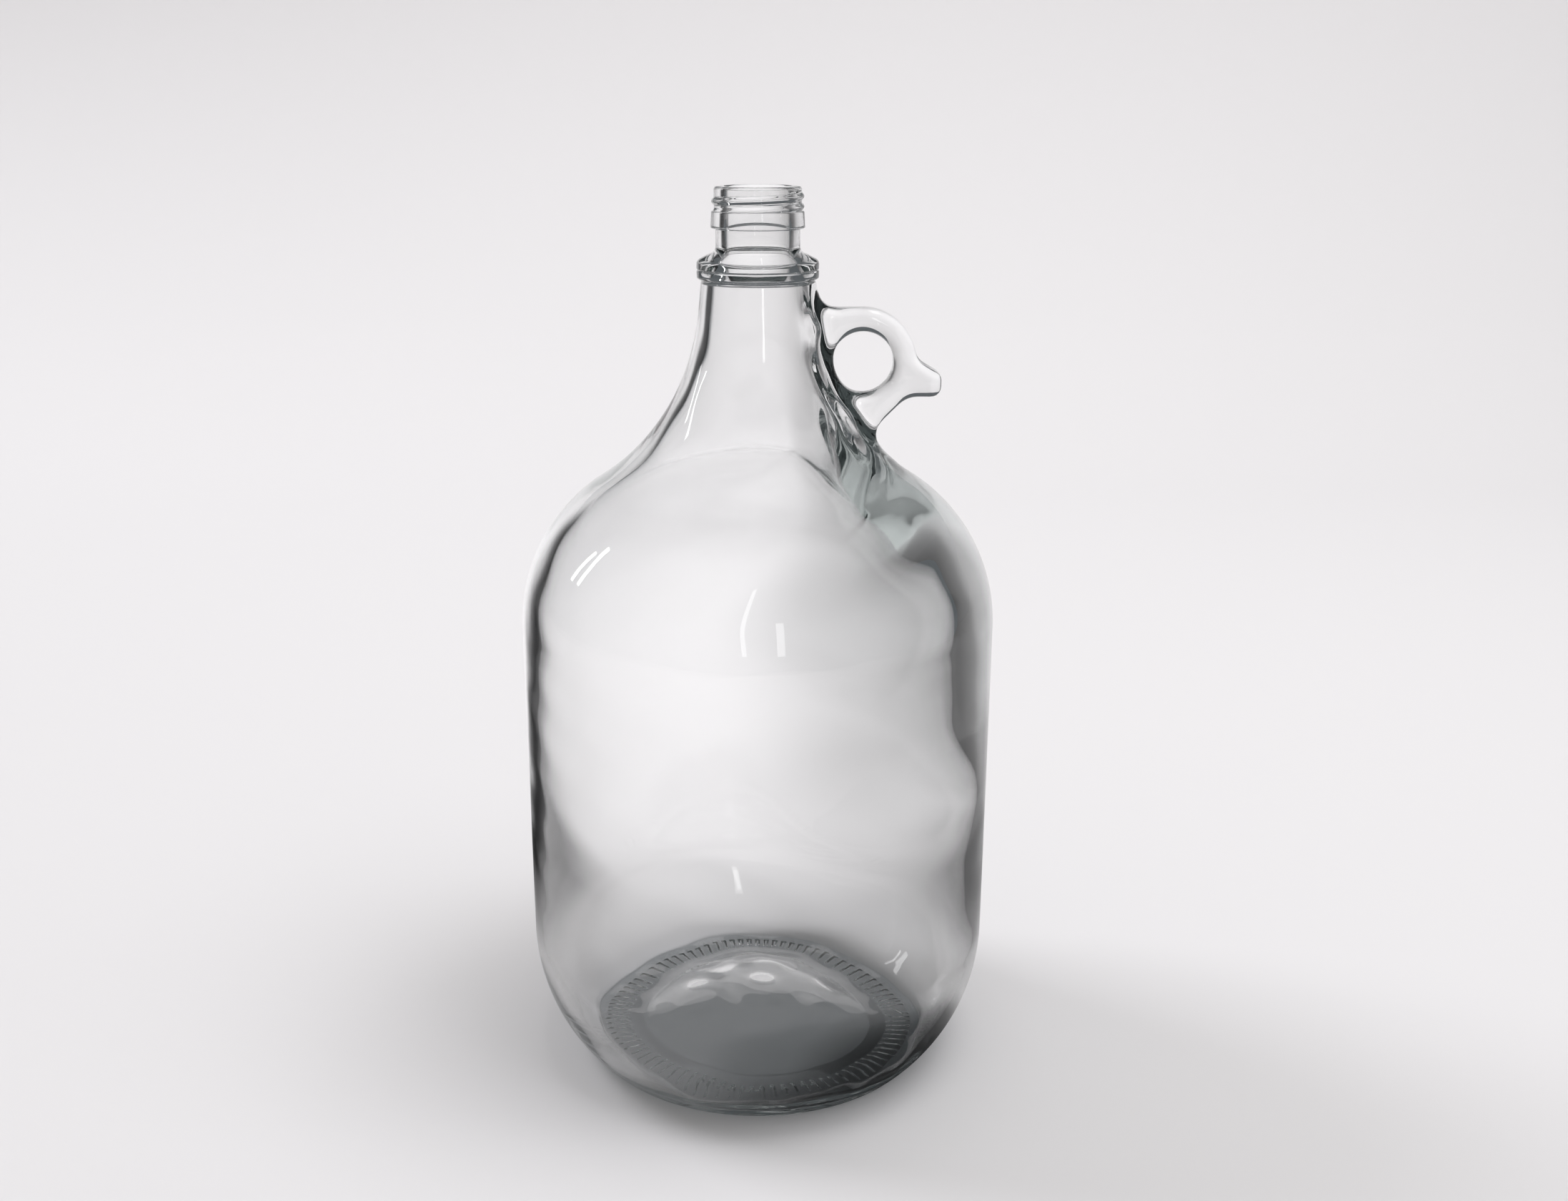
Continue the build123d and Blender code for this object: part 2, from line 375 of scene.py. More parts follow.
# %% [markdown]
# ## Clear glass
# Soda-lime glass, blown and fire polished. It is not coloured, but a trace of iron takes some
# red out of the light, which shows only where light travels far through it: in the thick heel,
# in the ring and along the edges. That is a property of the volume, so it is set as an
# absorption and not as a surface colour. A renderer takes glass to block the lamps, and then the
# shadow would be black. Real glass bends most light through and keeps some at its edges, so for
# shadow rays alone the skin is a thin grey veil, darker where it is seen edge on.


# %% Colours and nodes
def linear(hex_colour):
    """An sRGB hex colour as linear values."""
    parts = [int(hex_colour[i : i + 2], 16) / 255 for i in (1, 3, 5)]
    return [c / 12.92 if c <= 0.04045 else ((c + 0.055) / 1.055) ** 2.4 for c in parts] + [1.0]


def add_node(tree, kind, links=None, **settings):
    """Adds a node, sets its values and links its inputs; settings name a property or an input."""
    node = tree.nodes.new(kind)
    for key, value in settings.items():
        if hasattr(node, key):
            setattr(node, key, value)
        else:
            node.inputs[key.replace("_", " ")].default_value = value
    for key, socket in (links or {}).items():
        tree.links.new(socket, node.inputs[key])
    return node


def new_material(name):
    material = bpy.data.materials.new(name)
    material.use_nodes = True
    material.node_tree.nodes.clear()
    return material, material.node_tree


# %% Glass
# Clear soda-lime glass, blown in a mould and fire polished: a mirror-smooth skin with slow waves
# about 25 mm long, so that highlights are sharp but bend a little.
glass, tree = new_material("fire_polished_soda_lime_glass")
where = add_node(tree, "ShaderNodeTexCoord")
ripple = add_node(tree, "ShaderNodeTexNoise", {"Vector": where.outputs["Object"]}, Scale=38.0, Detail=1.0)
bump = add_node(tree, "ShaderNodeBump", {"Height": ripple.outputs[0]}, Strength=0.02, Distance=0.002)
surface = add_node(tree, "ShaderNodeBsdfPrincipled", {"Normal": bump.outputs[0]})
glass_values = {"Base Color": (1, 1, 1, 1), "Roughness": 0.0, "IOR": 1.51, "Transmission Weight": 1.0}
for key, value in glass_values.items():
    surface.inputs[key].default_value = value
absorb = add_node(tree, "ShaderNodeVolumeAbsorption", Density=9.0)
absorb.inputs["Color"].default_value = linear("#CFD6D4")
facing = add_node(tree, "ShaderNodeLayerWeight", Blend=0.35)
veil = add_node(tree, "ShaderNodeValToRGB", {"Fac": facing.outputs["Facing"]})
veil.color_ramp.elements[0].color = linear("#D4D5D5")
veil.color_ramp.elements[0].position = 0.45
veil.color_ramp.elements[1].color = linear("#8A8F90")
clear = add_node(tree, "ShaderNodeBsdfTransparent", {"Color": veil.outputs["Color"]})
path = add_node(tree, "ShaderNodeLightPath")
links = {"Fac": path.outputs["Is Shadow Ray"], 1: surface.outputs[0], 2: clear.outputs[0]}
shaded = add_node(tree, "ShaderNodeMixShader", links)
add_node(tree, "ShaderNodeOutputMaterial", {"Surface": shaded.outputs[0], "Volume": absorb.outputs[0]})

# %% [markdown]
# ## Knurls and thread
# The jug stands on a ring of fine ribs that let the hot glass cool evenly on the belt: 90 soft
# waves in the flat of the base. The screw thread is one rounded ridge that climbs the finish and
# fades into it at both ends. Separate pieces sunk into the jug would show their buried faces
# through the glass, so both have to be waves of the skin itself. Both follow a rule of height and
# direction, and a rule is what Geometry Nodes are good at: a tree with a few named inputs moves
# the points of the plain skin, and another count or pitch is only another number.

# %% Helpers for node trees of geometry
def new_tree(name, labels):
    """An empty geometry tree with a geometry socket and named number inputs."""
    tree = bpy.data.node_groups.new(name, "GeometryNodeTree")
    tree.interface.new_socket("Geometry", in_out="INPUT", socket_type="NodeSocketGeometry")
    tree.interface.new_socket("Geometry", in_out="OUTPUT", socket_type="NodeSocketGeometry")
    for label in labels:
        tree.interface.new_socket(label, in_out="INPUT", socket_type="NodeSocketFloat")
    return tree, tree.nodes.new("NodeGroupInput").outputs


def maths(tree, operation, *values):
    """One math node; each value is a number or a socket."""
    node = tree.nodes.new("ShaderNodeMath")
    node.operation = operation
    for slot, value in zip(node.inputs, values):
        if isinstance(value, bpy.types.NodeSocket):
            tree.links.new(value, slot)
        else:
            slot.default_value = value
    return node.outputs[0]


def place_sockets(tree):
    """A point's distance from the axis, its direction around it, its height, and all three parts."""
    point = add_node(tree, "GeometryNodeInputPosition")
    parts = add_node(tree, "ShaderNodeSeparateXYZ", {0: point.outputs[0]}).outputs
    squares = [maths(tree, "POWER", parts[i], 2) for i in (0, 1)]
    radius = maths(tree, "SQRT", maths(tree, "ADD", *squares))
    return radius, maths(tree, "ARCTAN2", parts[1], parts[0]), parts[2], parts


def soft_step(tree, value):
    """0 below 0, 1 above 1 and an eased step between."""
    return add_node(tree, "ShaderNodeMapRange", {"Value": value}, interpolation_type="SMOOTHSTEP").outputs[0]


def close_tree(tree, chosen, offset):
    """Moves the chosen points, then realizes the result and gives it its material."""
    start = next(node for node in tree.nodes if node.bl_idname == "NodeGroupInput")
    links = {"Geometry": start.outputs[0], "Selection": chosen, "Offset": offset}
    moved = add_node(tree, "GeometryNodeSetPosition", links)
    whole = add_node(tree, "GeometryNodeRealizeInstances", {0: moved.outputs[0]})
    dressed = add_node(tree, "GeometryNodeSetMaterial", {0: whole.outputs[0]})
    dressed.inputs["Material"].default_value = glass
    add_node(tree, "NodeGroupOutput", {0: dressed.outputs[0]})


def apply_tree(obj, tree, values):
    """Runs a tree on an object with these inputs and leaves a plain mesh behind."""
    modifier = obj.modifiers.new(tree.name, "NODES")
    modifier.node_group = tree
    for item in tree.interface.items_tree:
        if item.in_out == "INPUT" and item.name in values:
            modifier[item.identifier] = float(values[item.name])
    mesh = bpy.data.meshes.new_from_object(obj.evaluated_get(bpy.context.evaluated_depsgraph_get()))
    obj.modifiers.clear()
    obj.data = mesh


# %% Tree of the knurled ring
knurl_fades = 1.5 * MM, 1.0 * MM
flat_height = 1.2 * MM
knurls, values = new_tree("knurled_ring", ["Count", "Depth", "Inner Radius", "Outer Radius"])
radius, turn, level, _ = place_sockets(knurls)
wave = maths(knurls, "COSINE", maths(knurls, "MULTIPLY", turn, values["Count"]))
wave = maths(knurls, "POWER", maths(knurls, "MULTIPLY_ADD", wave, 0.5, 0.5), 2)
from_inner = maths(knurls, "SUBTRACT", radius, values["Inner Radius"])
from_outer = maths(knurls, "SUBTRACT", values["Outer Radius"], radius)
fade_in, fade_out = (
    maths(knurls, "DIVIDE", distance, width)
    for distance, width in zip((from_inner, from_outer), knurl_fades)
)
fade = maths(knurls, "MINIMUM", maths(knurls, "MINIMUM", fade_in, fade_out), 1)
rise = maths(knurls, "MULTIPLY", maths(knurls, "MULTIPLY", wave, fade), values["Depth"])
lift = add_node(knurls, "ShaderNodeCombineXYZ", {2: rise})
low_enough = maths(knurls, "LESS_THAN", level, flat_height)
in_ring = maths(knurls, "MULTIPLY", low_enough, maths(knurls, "GREATER_THAN", fade, 0))
close_tree(knurls, in_ring, lift.outputs[0])

# %% Tree of the screw thread
run_in_turns = 25 / 360
run_out_turns = 70 / 360
labels = ["Root Radius", "Crest Radius", "Half Width", "Pitch", "Low End"]
labels += ["Start Angle", "Turns", "Lowest Point"]
thread, values = new_tree("screw_thread", labels)
radius, turn, level, parts = place_sockets(thread)
turned = maths(thread, "SUBTRACT", turn, values["Start Angle"])
share = maths(thread, "FRACT", maths(thread, "DIVIDE", turned, 2 * pi))
# The ridge lies at a height of (share + a whole number) pitches, so the nearest lap is a rounding.
rises = maths(thread, "DIVIDE", maths(thread, "SUBTRACT", level, values["Low End"]), values["Pitch"])
laps = maths(thread, "SUBTRACT", rises, share)
lap = maths(thread, "MAXIMUM", maths(thread, "ROUND", laps), 0)
missed = maths(thread, "ABSOLUTE", maths(thread, "SUBTRACT", laps, lap))
off = maths(thread, "MULTIPLY", missed, values["Pitch"])
across = maths(thread, "MINIMUM", maths(thread, "DIVIDE", off, values["Half Width"]), 1)
profile = maths(thread, "POWER", maths(thread, "COSINE", maths(thread, "MULTIPLY", across, pi / 2)), 1.3)
climbed = maths(thread, "ADD", share, lap)
left_over = maths(thread, "SUBTRACT", values["Turns"], climbed)
run_in = soft_step(thread, maths(thread, "DIVIDE", climbed, run_in_turns))
run_out = soft_step(thread, maths(thread, "DIVIDE", left_over, run_out_turns))
height_out = maths(thread, "MULTIPLY", maths(thread, "MULTIPLY", run_in, run_out), profile)
stand = maths(thread, "SUBTRACT", values["Crest Radius"], values["Root Radius"])
grow = maths(thread, "DIVIDE", maths(thread, "MULTIPLY", height_out, stand), radius)
push_x, push_y = (maths(thread, "MULTIPLY", parts[i], grow) for i in (0, 1))
shift = add_node(thread, "ShaderNodeCombineXYZ", {0: push_x, 1: push_y})
near_root = maths(thread, "LESS_THAN", radius, maths(thread, "ADD", values["Root Radius"], 0.2 * MM))
above = maths(thread, "GREATER_THAN", level, values["Lowest Point"])
close_tree(thread, maths(thread, "MULTIPLY", near_root, above), shift.outputs[0])
print("nodes:", len(knurls.nodes), "in the knurled ring,", len(thread.nodes), "in the thread")

# %% [markdown]
# ## The outer skin
# Only the rings that carry the knurls need many points. A few of them also carry small round
# dots, which the mould maker punched between the ribs. A dot could be a node of its own kind,
# but they follow no rule, so they are plain bumps at listed directions.

# %% Plain rings, and rings with dots
fine_turns = np.linspace(0, 2 * pi, around * 4, endpoint=False)
front_dots = [247.5, 251.3, 255, 259, 266, 269.7, 280.6, 288, 291.5]
left_dots = list(range(188, 213, 4))
dot_turns = np.radians(front_dots + left_dots)
dot_radii = [54.0] * len(front_dots) + [57.6] * len(left_dots)
dot_size = 1.0
dot_depth = 0.9


def dotted_ring(radius, z):
    """A fine ring of the base with its part of the dots."""
    lift = np.zeros(len(fine_turns))
    for turn, reach in zip(dot_turns, dot_radii):
        off = (fine_turns - turn + pi) % (2 * pi) - pi
        lift += dot_depth * np.exp(-((off * radius) ** 2 + (radius - reach) ** 2) / dot_size**2)
    return ring(np.full(len(fine_turns), radius), z + lift, fine_turns)


# %% Outer skin, closed by a lid at the rim for now
rim_ring_radii = (13.0, 12.3)
outer_rings = [ring(np.full(around, r), z) for r, z in base_run]
outer_rings += [dotted_ring(r, z) for r, z in knurl_run]
outer_rings += [ring(np.full(around, r), z) for r, z in chain(body_run, bead_run)]
outer_rings += [ring(np.full(around, r), z) for r, z in finish_run[1:]]
lid = ring(np.full(around, bore_radius + rim_bevel), rim_z)
outer_rings += [ring(np.full(around, r), rim_z) for r in rim_ring_radii] + [lid]
outer_points, outer_faces = skin(outer_rings, (0, 0, push_up_height), inwards=False)
lid_start = len(outer_points) - around
outer_faces.append(tuple(range(lid_start, len(outer_points))))
print("outer skin:", len(outer_faces), "faces")

# %% Inner skin
ripple_depth = 0.07
ripple_lows, ripple_highs = (0.12, 0, 0), (0.5, 2 * pi, 2 * pi)
ripples = np.random.default_rng(11).uniform(ripple_lows, ripple_highs, (9, 3))


def floor_ripple(x, y):
    """Uneven waves that the chilled floor keeps, summed from a few directions."""
    return sum(np.sin(pitch * (x * cos(way) + y * sin(way)) + phase) for pitch, way, phase in ripples)


def hollow_depth(r, z):
    """How far the wall sinks in behind the roots of the finger ring."""
    off_side = (turns + pi) % (2 * pi) - pi
    return sum(
        size * np.exp(-(((z - at) / spread) ** 2) - off_side**2 * (r / spread) ** 2)
        for at, size, spread in root_hollows
    )


inner_rings = []
for (r, z), (nr, nz) in zip(inner_run, normals_2d(inner_run)):
    # The floor and the bore keep their outline; the wall between them is pushed.
    ease = np.clip((z - 16) / 26, 0, 1) * np.clip((285 - z) / 30, 0, 1)
    push = (wall - wall_thickness(z + nz * wall, turns) + hollow_depth(r, z)) * ease
    on_floor = eased((30 - z) / 12) * eased(r / 8)
    sag = ripple_depth * floor_ripple(r * np.cos(turns), r * np.sin(turns)) * on_floor
    inner_rings.append(ring(r + nr * push, z + nz * push + sag))
inner_rings[-1] = lid
inner_points, inner_faces = skin(inner_rings, (0, 0, floor_z), inwards=True)
print("inner skin:", len(inner_faces), "faces")

# %% [markdown]
# ## The finger ring
# The ring is a flat plate of glass with a round hole, a thumb horn and rounded edges. It could
# be a bevelled extrusion, but its roots have to melt into the neck without an edge. So it is
# described twice: as an outline that gives the mesh its points, and as a distance, which says
# for any point how far it lies from the ring's surface. The second is what the melting uses.

# %% Sizes of the finger ring, in millimetres
hole_radius = 10.5
hole_web = 1.3
ring_band = 7.7
ring_half = 6.0
ring_edge = 3.3
ring_drop = 17.4
arm_fillet = 8.0
horn_length = 8.6
horn_turn = radians(4.0)
horn_drop = 11.6
horn_height = 7.5
horn_tip = 3.5
horn_root = 7.0
knee_round = 9.0
leg_width = 8.4
leg_turn = radians(225)
foot_fillet = 9.0
root_depth = 2.0

# %% Outline of the finger ring in the plane y = 0
outer_r = hole_radius + ring_band
ring_z = neck_foot[1] - ring_drop
sweep_reach = sweep_centre[0] - sqrt(sweep_radius**2 - (ring_z - sweep_centre[1]) ** 2)
ring_x = sweep_reach + hole_web + hole_radius
centre = v2(ring_x, ring_z)
arm_top = centre + v2(0, outer_r)
arm_drop = (neck_top[1] - arm_top[1]) / cos(neck_taper)
arm_corner = neck_top + taper_down * arm_drop - taper_out * root_depth
arm_rise = arm_corner - taper_down * (arm_fillet + 3)
arm_slope = rounded([arm_rise, arm_corner, arm_top], [arm_fillet + root_depth], 8)

horn_start = centre + outer_r * v2(cos(horn_turn), sin(horn_turn))
tip_x = centre[0] + outer_r + horn_length
horn_under = centre[1] - horn_drop
tip_top = v2(tip_x, horn_under + horn_height)
horn_way = unit(tip_top - horn_start)
horn_out = v2(-horn_way[1], horn_way[0])
lean_start = horn_start + horn_out * horn_root
lean = lean_start + horn_way * max(crossings(lean_start, horn_way, centre, outer_r + horn_root))
lean_turn = atan2(*(lean - centre)[::-1])
horn_hollow = arc(lean, horn_root, lean_turn - pi, atan2(*-horn_out[::-1]), 7)

leg_way = v2(cos(leg_turn), sin(leg_turn))
leg_out = v2(-leg_way[1], leg_way[0])
leg_edge = centre + leg_out * (hole_radius + leg_width)
knee = leg_edge + leg_way * (horn_under - leg_edge[1]) / leg_way[1]
leg_foot = knee + leg_way * max(crossings(knee, leg_way, sweep_centre, sweep_radius + root_depth))
down = unit(sweep_centre - leg_foot)[::-1] * v2(1, -1)
foot_end = leg_foot + down * 15
under = rounded(
    [horn_hollow[-1], tip_top, v2(tip_x, horn_under), knee, leg_foot, foot_end],
    [horn_tip, horn_tip, knee_round, foot_fillet + root_depth],
    8,
)
foot_turn = atan2(*(foot_end - sweep_centre)[::-1]) % (2 * pi)
root_back = arc(sweep_centre, sweep_radius + root_depth + 0.7, foot_turn, pi + neck_taper, 30)
outline = chain(
    arc(centre, outer_r, pi / 2, lean_turn, 22),
    horn_hollow,
    under,
    np.vstack([under[-1:], root_back]),
    np.vstack([root_back[-1:], arm_slope]),
)


def resampled(run, step):
    """The same closed run with points at even steps along it."""
    closed = np.vstack([run, run[:1]])
    along = np.concatenate([[0], np.cumsum(np.linalg.norm(np.diff(closed, axis=0), axis=1))])
    at = np.linspace(0, along[-1], int(along[-1] / step), endpoint=False)
    return np.column_stack([np.interp(at, along, closed[:, i]) for i in (0, 1)])


outline = resampled(outline, 1.1)
hole = arc(centre, hole_radius, 0, 2 * pi, 60)[:-1]
print("finger ring outline:", len(outline), "points, ring centre", centre.round(1))


# %% Distances to the ring and to the body
def edge_distance(p, run):
    """Distance from points to a closed run of short straight edges."""
    a, b = run, np.roll(run, -1, axis=0)
    best = np.full(len(p), 1e9)
    for start in range(0, len(p), 4000):
        q = p[start : start + 4000, None, :]
        t = np.clip(((q - a) * (b - a)).sum(2) / ((b - a) ** 2).sum(1), 0, 1)[..., None]
        best[start : start + 4000] = np.linalg.norm(a + t * (b - a) - q, axis=2).min(1)
    return best


def inside(p, run):
    """Whether points lie inside a closed run."""
    a, b = run, np.roll(run, -1, axis=0)
    x, y = p[:, :1], p[:, 1:]
    spans = (a[:, 1] > y) != (b[:, 1] > y)
    rise = np.where(b[:, 1] == a[:, 1], 1e-9, b[:, 1] - a[:, 1])
    return (spans & (x < (b[:, 0] - a[:, 0]) * (y - a[:, 1]) / rise + a[:, 0])).sum(1) % 2 == 1


def plate_distance(p):
    """Signed distance in the ring's own plane, below zero in the glass."""
    d = edge_distance(p, outline) * np.where(inside(p, outline), -1, 1)
    return np.maximum(d, hole_radius - np.linalg.norm(p - centre, axis=1))


def ring_distance(p):
    """Signed distance to the rounded plate in space."""
    flat = plate_distance(p[:, [0, 2]]) + ring_edge
    across = np.abs(p[:, 1]) - (ring_half - ring_edge)
    corner = np.hypot(np.maximum(flat, 0), np.maximum(across, 0))
    return np.minimum(np.maximum(flat, across), 0) + corner - ring_edge


half_outline = body_run[len(foot_corner) - 1 :]


def body_distance(p):
    """Signed distance to the turned body, below zero inside its outline."""
    flat = np.column_stack([np.hypot(p[:, 0], p[:, 1]), p[:, 2]])
    reach = np.interp(flat[:, 1], half_outline[:, 1], half_outline[:, 0])
    a = half_outline
    closed = np.vstack([a, [[0, a[-1, 1]], [0, a[0, 1]]]])
    return edge_distance(flat, closed) * np.where(flat[:, 0] < reach, -1, 1)


def melted_distance(p, melt):
    """The two distances, joined with a soft corner of that size."""
    a, b = body_distance(p), ring_distance(p)
    soft = np.clip(melt - np.abs(a - b), 0, None)
    return np.minimum(a, b) - soft**2 / (4 * melt)


# %% Mesh of the finger ring
grid_step = 1.15
grid_jitter = 0.12
spans = [np.arange(a, b, grid_step) for a, b in zip(outline.min(0), outline.max(0))]
grid = np.stack(np.meshgrid(*spans), -1).reshape(-1, 2)
grid = grid + grid_jitter * np.random.default_rng(3).standard_normal(grid.shape)
flat_normals = np.roll(outline, 1, axis=0) - np.roll(outline, -1, axis=0)
flat_normals = np.column_stack([-flat_normals[:, 1], flat_normals[:, 0]])
flat_normals /= np.linalg.norm(flat_normals, axis=1)[:, None]
if inside((outline + flat_normals * 0.05)[:1], outline)[0]:
    flat_normals = -flat_normals
layers = []
for t in np.linspace(0, pi / 2, 6)[1:]:
    depth = ring_edge * (1 - cos(t))
    moved = outline - flat_normals * depth
    moved = moved[plate_distance(moved) < -depth + 0.12]
    layers.append(moved)
    layers.append(arc(centre, hole_radius + depth, 0, 2 * pi, 60)[:-1])
layers.append(grid[plate_distance(grid) < -ring_edge - 0.7])
flat_points = np.vstack([outline, hole] + layers)
edges = [(i, (i + 1) % len(outline)) for i in range(len(outline))]
edges += [(len(outline) + i, len(outline) + (i + 1) % len(hole)) for i in range(len(hole))]
got, _, tris, *_ = geometry.delaunay_2d_cdt([Vector(p) for p in flat_points], edges, [], 0, 1e-6)
got = np.array([tuple(p) for p in got])
tris = np.array([t for t in tris if len(t) == 3])
tris = tris[plate_distance(got[tris].mean(1)) < 0]
depth = np.clip(-plate_distance(got), 0, ring_edge)
half = ring_half - ring_edge + np.sqrt(np.maximum(ring_edge**2 - (ring_edge - depth) ** 2, 0))
front = np.column_stack([got[:, 0], -half, got[:, 1]])
back = front * (1, -1, 1)
n = len(got)
side = np.vstack([tris[:, [0, 1]], tris[:, [1, 2]], tris[:, [2, 0]]])
pairs = {(a, b) for a, b in side.tolist()}
rims = [(a, b) for a, b in pairs if (b, a) not in pairs]
ring_faces = [tuple(t) for t in tris.tolist()] + [tuple(n + i for i in t[::-1]) for t in tris.tolist()]
ring_faces += [(b, a, n + a, n + b) for a, b in rims]
ring_mesh = make_mesh("ring", np.vstack([front, back]), ring_faces)
print("finger ring:", len(ring_faces), "faces")

# %% [markdown]
# ## Melting the ring into the neck
# A boolean union gives one closed skin, but it leaves a sharp crease all round the roots, which
# hot glass never has. Blender has no fillet for such a crease. But the distances above know
# where the melted surface lies, so each point near the crease slides along the slope of the
# melted distance until it lies on that surface.

# %% Union
melt = 5.0


def add_object(name, mesh):
    obj = bpy.data.objects.new(name, mesh)
    bpy.context.scene.collection.objects.link(obj)
    return obj


def outward(mesh):
    """Makes all faces of a closed mesh look outwards."""
    bm = bmesh.new()
    bm.from_mesh(mesh)
    bmesh.ops.recalc_face_normals(bm, faces=bm.faces)
    bm.to_mesh(mesh)
    bm.free()


jug = add_object("moulded_jug", make_mesh("outer", outer_points, outer_faces))
knurl_sizes = {
    "Count": knurl_count,
    "Depth": knurl_depth * MM,
    "Inner Radius": knurl_inner * MM,
    "Outer Radius": knurl_outer * MM,
}
apply_tree(jug, knurls, knurl_sizes)
thread_sizes = {
    "Root Radius": thread_root * MM,
    "Crest Radius": thread_crest * MM,
    "Half Width": thread_half_width * MM,
    "Pitch": thread_pitch * MM,
    "Low End": thread_low_end * MM,
    "Start Angle": thread_start,
    "Turns": thread_turns,
    "Lowest Point": (collar_top - 0.01) * MM,
}
apply_tree(jug, thread, thread_sizes)
for mesh in (jug.data, ring_mesh):
    outward(mesh)
cutter = add_object("ring", ring_mesh)
union = jug.modifiers.new("union", "BOOLEAN")
union.operation = "UNION"
union.solver = "EXACT"
union.object = cutter
joined = bpy.data.meshes.new_from_object(jug.evaluated_get(bpy.context.evaluated_depsgraph_get()))
jug.modifiers.clear()
jug.data = joined
joined.materials.clear()
joined.materials.append(glass)
bpy.data.objects.remove(cutter)
print("joined skin:", len(joined.polygons), "faces")

# %% Melt
points = np.empty(len(joined.vertices) * 3)
joined.vertices.foreach_get("co", points)
points = points.reshape(-1, 3) / MM
x, y, z = points.T
in_height = (z > 205) & (z < bead_bottom - 0.2)
near = np.where((x > 8) & (np.abs(y) < 16) & in_height)[0]
spot = points[near]
gap = np.abs(body_distance(spot) - ring_distance(spot))
near, spot = near[gap < melt * 1.4], spot[gap < melt * 1.4]


def slope(p, melt):
    """Which way, and how fast, the melted distance grows at points."""
    step = 0.02
    sides = [(melted_distance(p + s, melt), melted_distance(p - s, melt)) for s in np.eye(3) * step]
    return np.column_stack([(ahead - behind) / (2 * step) for ahead, behind in sides])


for _ in range(4):
    away = slope(spot, melt)
    steepness = np.maximum((away**2).sum(1), 0.05)
    spot = spot - away * (melted_distance(spot, melt) / steepness)[:, None]
points[near] = spot
joined.vertices.foreach_set("co", (points * MM).ravel())
joined.update()
print("melted", len(near), "points")

# %% Inner skin joined on at the rim
bm = bmesh.new()
bm.from_mesh(joined)
lid_reach = bore_radius + rim_bevel + 0.05


def on_lid(vertex):
    """Whether a vertex lies on the lid that closed the outer skin."""
    x, y, z = vertex.co / MM
    return abs(z - rim_z) < 1e-3 and hypot(x, y) < lid_reach


lid_faces = [face for face in bm.faces if all(on_lid(vertex) for vertex in face.verts)]
bmesh.ops.delete(bm, geom=lid_faces, context="FACES_ONLY")
inner_mesh = make_mesh("inner", inner_points, inner_faces)
bm.from_mesh(inner_mesh)
bmesh.ops.remove_doubles(bm, verts=bm.verts, dist=0.002 * MM)
bmesh.ops.recalc_face_normals(bm, faces=bm.faces)
open_edges = [e for e in bm.edges if not e.is_manifold]
print("lid faces:", len(lid_faces), "open edges:", len(open_edges))
print("volume of glass, cm3:", round(bm.calc_volume() * 1e6, 1))
bm.to_mesh(joined)
bm.free()
for polygon in joined.polygons:
    polygon.use_smooth = True
print("jug:", len(joined.polygons), "faces")

# %% Handing the jug over
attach(jug, "root")
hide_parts("glass_jug")

# %% [markdown]
# ## Camera
# The camera looks down by about 17 degrees. It is placed by numbers and not aimed at the jug, so
# that a change of the jug never moves the view.

# %% Camera
camera = bpy.data.objects.new("camera", bpy.data.cameras.new("camera"))
bpy.context.scene.collection.objects.link(camera)
bpy.context.scene.camera = camera
frame_width = 2194
focal_pixels = 2274.22
camera.location = (0, -0.55154, 0.33338)
camera.rotation_euler = (radians(90 - 16.76), 0, 0)
camera.data.sensor_width = 36
camera.data.lens = camera.data.sensor_width * focal_pixels / frame_width
camera.data.shift_x = 0.01673
camera.data.shift_y = 0.0005
print("lens:", round(camera.data.lens, 1), "mm")

# %% [markdown]
# ## Table and backdrop
# A sheet of matt paper lies on the table and curves up behind the jug, so no edge shows.
# Clear glass has no look of its own: it shows what lies around it. A jug in a plain white room is
# almost invisible, and photographers stand dark cards beside it to draw its edges. Cards could be
# modelled, but they would also darken the table. So, for rays that have met the glass alone, the
# paper carries painted light and shade instead. It has painted shade towards the sides in place of
# the cards and a painted lift behind the jug. It also has painted shadow and painted light spots
# near the base and one darker spot on the backdrop. Seen directly it stays plain.

# %% Shape of the paper
sweep_profile = chain(
    line(v2(-1.6, 0), v2(0.9, 0), 4),
    arc(v2(0.9, 0.6), 0.6, -pi / 2, 0, 24),
)
table_half = 2.0
rows = [(x, y, z) for y, z in sweep_profile for x in (-table_half, table_half)]
table_mesh = bpy.data.meshes.new("table")
corners = range(0, len(rows) - 2, 2)
table_mesh.from_pydata(rows, [], [(i, i + 1, i + 3, i + 2) for i in corners])
for polygon in table_mesh.polygons:
    polygon.use_smooth = True
table = add_object("table", table_mesh)
print("table:", len(table_mesh.polygons), "faces")


# %% Shades from a list of levels
def level_ramp(tree, factor, levels):
    """A smooth ramp of greys from (place, level) pairs, with places from 0 to 1.

    A ramp ends at 1, so the levels are divided by the highest and multiplied again behind it."""
    top = max(level for _, level in levels)
    ramp = add_node(tree, "ShaderNodeValToRGB", {"Fac": factor})
    ramp.color_ramp.interpolation = "B_SPLINE"
    while len(ramp.color_ramp.elements) < len(levels):
        ramp.color_ramp.elements.new(0.5)
    for stop, (place, level) in zip(ramp.color_ramp.elements, levels):
        stop.position = place
        stop.color = (level / top, level / top, level / top, 1)
    scaled = add_node(tree, "ShaderNodeVectorMath", {0: ramp.outputs["Color"]}, operation="SCALE")
    scaled.inputs["Scale"].default_value = top
    return scaled.outputs[0]
